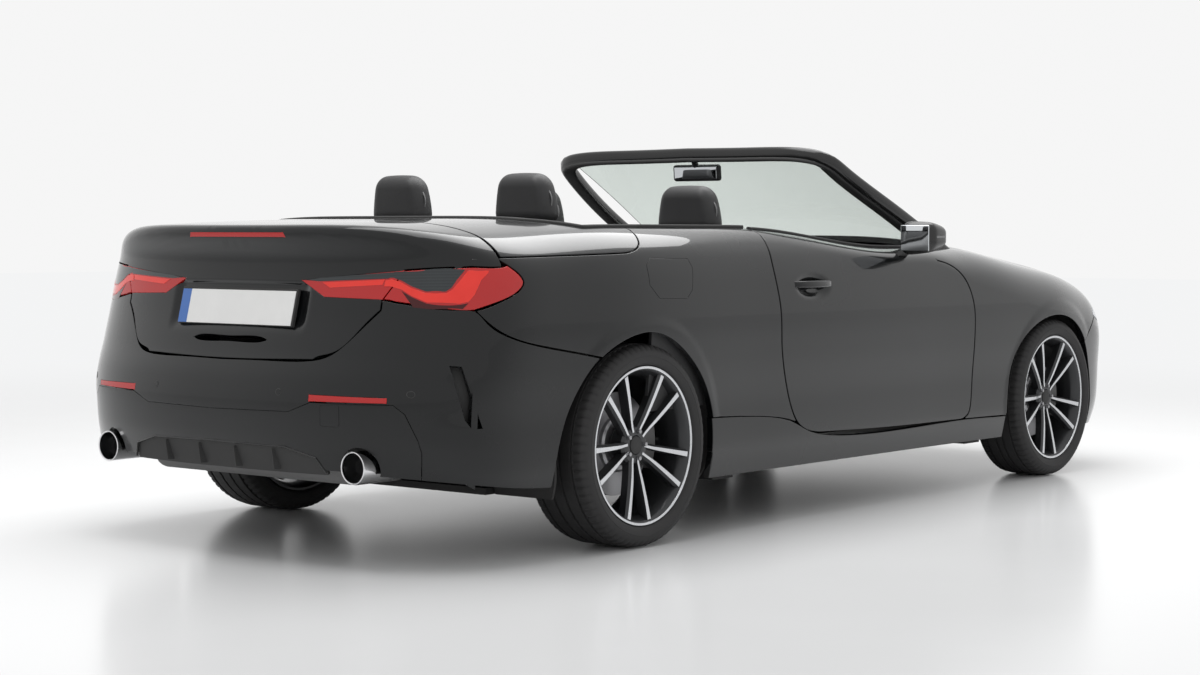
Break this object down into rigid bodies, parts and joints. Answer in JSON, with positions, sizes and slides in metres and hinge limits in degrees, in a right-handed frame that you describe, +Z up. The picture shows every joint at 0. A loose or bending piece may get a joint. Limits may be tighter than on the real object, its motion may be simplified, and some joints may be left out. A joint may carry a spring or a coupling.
{
  "type": "two-door convertible car",
  "caption": "Open two-door passenger car with folded roof, rolling and steered wheels, opening doors, bonnet, boot lid and top cover.",
  "frame": {"origin": "on the ground at mid-length on the centre plane", "axes": "+X forward, +Y to the left side of the car, +Z up"},
  "size_m": [4.7159, 2.08, 1.355],
  "materials": {
    "paint": "gloss",
    "black_gloss": "gloss",
    "black_trim": "matte",
    "glass": "gloss",
    "lamp_red": "gloss",
    "lamp_clear": "gloss",
    "tyre": "matte",
    "rim": "satin",
    "chassis": "matte",
    "steel": "satin",
    "castings": "matte",
    "seat": "satin",
    "cabin_trim": "matte",
    "plate": "satin",
    "reflector": "gloss"
  },
  "bodies": {
    "chassis": {"bulkheads": "chassis", "console": "cabin_trim", "cowl": "black_trim", "dashboard": "cabin_trim", "diffuser": "black_trim", "engine": "castings", "exhaust": "steel", "fender_left": "paint", "fender_right": "paint", "floor_pan": "chassis", "front_axle": "castings", "front_bumper": "paint", "grille": "black_gloss", "headlamps": "lamp_clear", "quarter_left": "paint", "quarter_right": "paint", "rear_axle": "castings", "rear_bumper": "paint", "rear_view_mirror": "black_trim", "reflectors": "reflector", "seat_front_left": "seat", "seat_front_right": "seat", "seat_rear": "seat", "sill_covers": "paint", "steering_column": "cabin_trim", "tail_lamps": "lamp_red", "wheel_houses": "chassis", "windscreen": "glass", "windscreen_frame": "paint"},
    "door_left": {"door_left": "paint", "mirror_left": "black_gloss"},
    "door_right": {"door_right": "paint", "mirror_right": "black_gloss"},
    "bonnet": {"bonnet": "paint"},
    "boot_lid": {"boot_lid": "paint", "lid_lamps": "lamp_red", "number_plate": "plate", "brake_lamp": "lamp_red"},
    "top_cover": {"top_cover": "paint"},
    "knuckle_left": {"knuckle_left": "castings"},
    "knuckle_right": {"knuckle_right": "castings"},
    "wheel_front_left": {"tyre_front_left": "tyre", "rim_front_left": "rim"},
    "wheel_front_right": {"tyre_front_right": "tyre", "rim_front_right": "rim"},
    "wheel_rear_left": {"tyre_rear_left": "tyre", "rim_rear_left": "rim"},
    "wheel_rear_right": {"tyre_rear_right": "tyre", "rim_rear_right": "rim"},
    "steering_wheel": {"steering_wheel": "cabin_trim"},
    "fuel_flap": {"fuel_flap": "paint"}
  },
  "joints": [
    {"name": "steering_wheel_turn", "type": "hinge", "parent": "chassis", "child": "steering_wheel", "pos_m": [0.2635, 0.375, 0.8], "axis": [-0.9135, 0, 0.4067], "range_deg": [-480, 480]},
    {"name": "steer_left", "type": "hinge", "parent": "chassis", "child": "knuckle_left", "pos_m": [1.5335, 0.715, 0.331], "axis": [0, 0, 1], "range_deg": [-33, 33]},
    {"name": "steer_right", "type": "hinge", "parent": "chassis", "child": "knuckle_right", "pos_m": [1.5335, -0.715, 0.331], "axis": [0, 0, 1], "range_deg": [-33, 33]},
    {"name": "roll_front_left", "type": "hinge", "parent": "knuckle_left", "child": "wheel_front_left", "pos_m": [1.5335, 0.79, 0.331], "axis": [0, 1, 0], "continuous": true},
    {"name": "roll_front_right", "type": "hinge", "parent": "knuckle_right", "child": "wheel_front_right", "pos_m": [1.5335, -0.79, 0.331], "axis": [0, 1, 0], "continuous": true},
    {"name": "roll_rear_left", "type": "hinge", "parent": "chassis", "child": "wheel_rear_left", "pos_m": [-1.3175, 0.792, 0.331], "axis": [0, 1, 0], "continuous": true},
    {"name": "roll_rear_right", "type": "hinge", "parent": "chassis", "child": "wheel_rear_right", "pos_m": [-1.3175, -0.792, 0.331], "axis": [0, 1, 0], "continuous": true},
    {"name": "door_left_swing", "type": "hinge", "parent": "chassis", "child": "door_left", "pos_m": [0.7075, 0.915, 0.6], "axis": [0, 0, -1], "range_deg": [0, 65]},
    {"name": "door_right_swing", "type": "hinge", "parent": "chassis", "child": "door_right", "pos_m": [0.7075, -0.915, 0.6], "axis": [0, 0, 1], "range_deg": [0, 65]},
    {"name": "bonnet_lift", "type": "hinge", "parent": "chassis", "child": "bonnet", "pos_m": [0.8885, 0, 1.02], "axis": [0, -1, 0], "range_deg": [0, 50]},
    {"name": "boot_lid_lift", "type": "hinge", "parent": "chassis", "child": "boot_lid", "pos_m": [-1.9575, 0, 1.062], "axis": [0, 1, 0], "range_deg": [0, 80]},
    {"name": "top_cover_lift", "type": "hinge", "parent": "chassis", "child": "top_cover", "pos_m": [-1.9525, 0, 1.062], "axis": [0, -1, 0], "range_deg": [0, 45]},
    {"name": "fuel_flap_swing", "type": "hinge", "parent": "chassis", "child": "fuel_flap", "pos_m": [-1.052, -0.912, 0.87], "axis": [0, 0, 1], "range_deg": [0, 85]}
  ],
  "couplings": [
    {"joint": "steer_left", "follows": "steering_wheel_turn", "ratio": 0.06875},
    {"joint": "steer_right", "follows": "steering_wheel_turn", "ratio": 0.06875}
  ]
}
